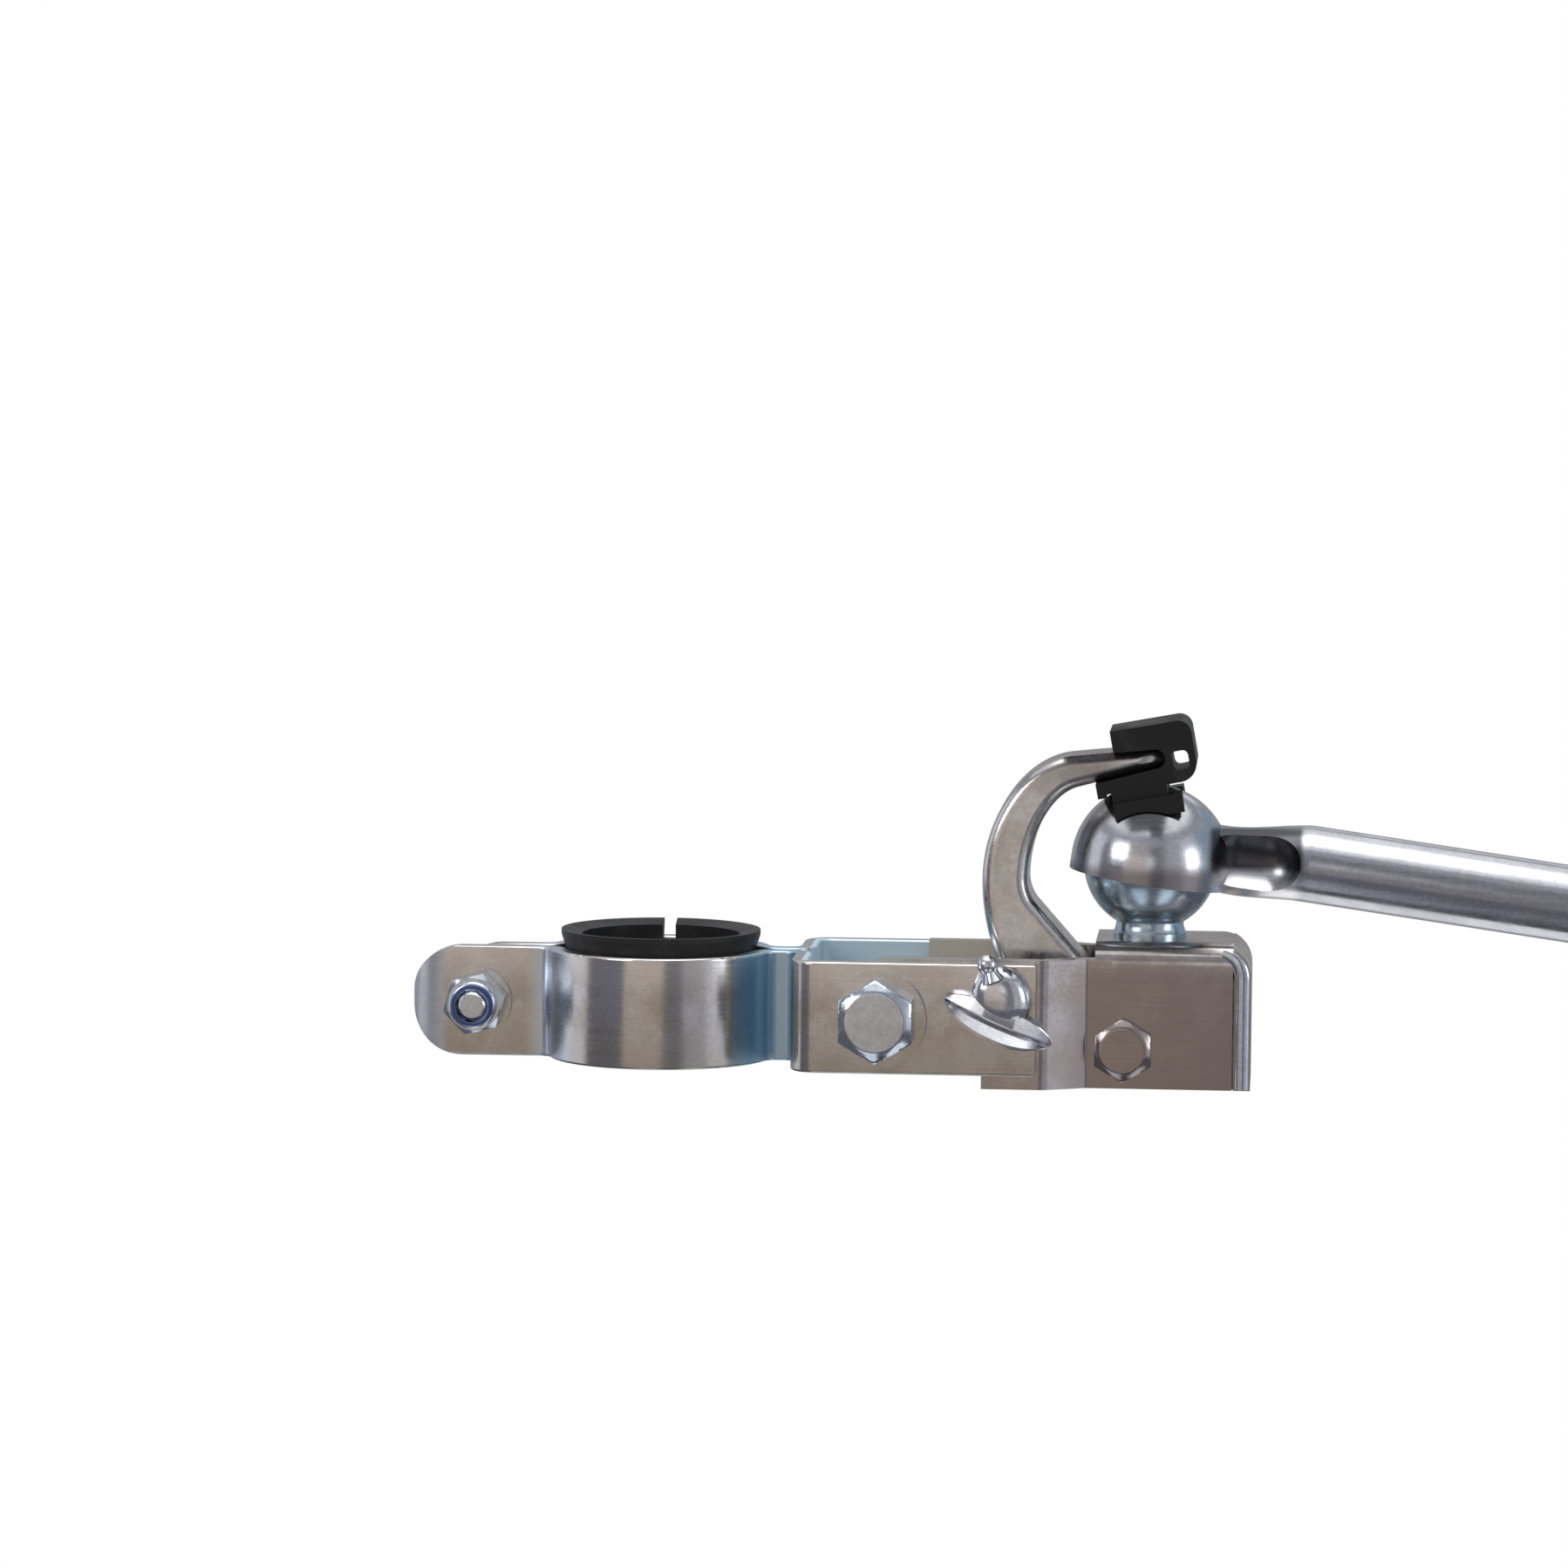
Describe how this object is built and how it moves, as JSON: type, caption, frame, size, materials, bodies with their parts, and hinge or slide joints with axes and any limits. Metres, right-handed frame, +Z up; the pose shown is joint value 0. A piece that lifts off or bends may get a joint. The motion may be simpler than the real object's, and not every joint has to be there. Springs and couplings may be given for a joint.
{
  "type": "bike trailer hitch",
  "caption": "Zinc-plated ball hitch for a bicycle: strip clamp with reducer sleeve, forked ball bracket, swinging hold-down arm with plastic shoe, wing screw and drawbar end.",
  "frame": {"origin": "on the axis of the clamped bore, at mid height of the clamp strip", "axes": "+Z up along the bore, +X rearwards to the trailer, -Y on the wing screw's side"},
  "size_m": [0.2113, 0.0574, 0.0659],
  "materials": {
    "zinc_strip": "bright zinc plated strip",
    "zinc_sheet": "bright zinc plated sheet",
    "zinc_forged": "zinc plated forging",
    "zinc_fastener": "blue zinc plated fastener",
    "zinc_wing": "zinc plated casting",
    "zinc_ball": "polished blue zinc",
    "zinc_drawbar": "polished zinc",
    "black_plastic": "moulded",
    "shoe_plastic": "moulded"
  },
  "bodies": {
    "bracket": {"clamp_front_half": "zinc_strip", "clamp_rear_half": "zinc_strip", "reducer_sleeve": "black_plastic", "clamp_bolt": "zinc_fastener", "clamp_nut": "zinc_fastener", "clamp_washers": "zinc_fastener", "fork_bolt": "zinc_fastener", "fork_bolt_nut": "zinc_fastener", "fork_bolt_washers": "zinc_fastener", "fork_spacer": "zinc_fastener", "ball_bracket": "zinc_sheet", "weld_nut": "zinc_fastener", "ball_stud": "zinc_ball", "ball_stud_washer": "zinc_fastener", "ball_stud_nut": "zinc_fastener", "arm_pivot_bolt": "zinc_fastener", "arm_pivot_washer": "zinc_fastener", "arm_pivot_nut": "zinc_fastener", "arm_spacers": "zinc_fastener"},
    "arm": {"hold_down_arm": "zinc_forged", "arm_shoe": "shoe_plastic"},
    "wing": {"wing_screw": "zinc_wing"},
    "drawbar": {"drawbar": "zinc_drawbar"}
  },
  "joints": [
    {"name": "arm_swing", "type": "hinge", "parent": "bracket", "child": "arm", "pos_m": [0.0844, 0, -0.0057], "axis": [0, -1, 0], "range_deg": [0, 30]},
    {"name": "wing_screw_turn", "type": "hinge", "parent": "bracket", "child": "wing", "pos_m": [0.063, -0.02, 0.0042], "axis": [0, -1, 0], "continuous": true},
    {"name": "drawbar_yaw", "type": "hinge", "parent": "bracket", "child": "drawbar", "pos_m": [0.0887, 0, 0.0266], "axis": [0, 0, 1], "range_deg": [-100, 100]}
  ]
}
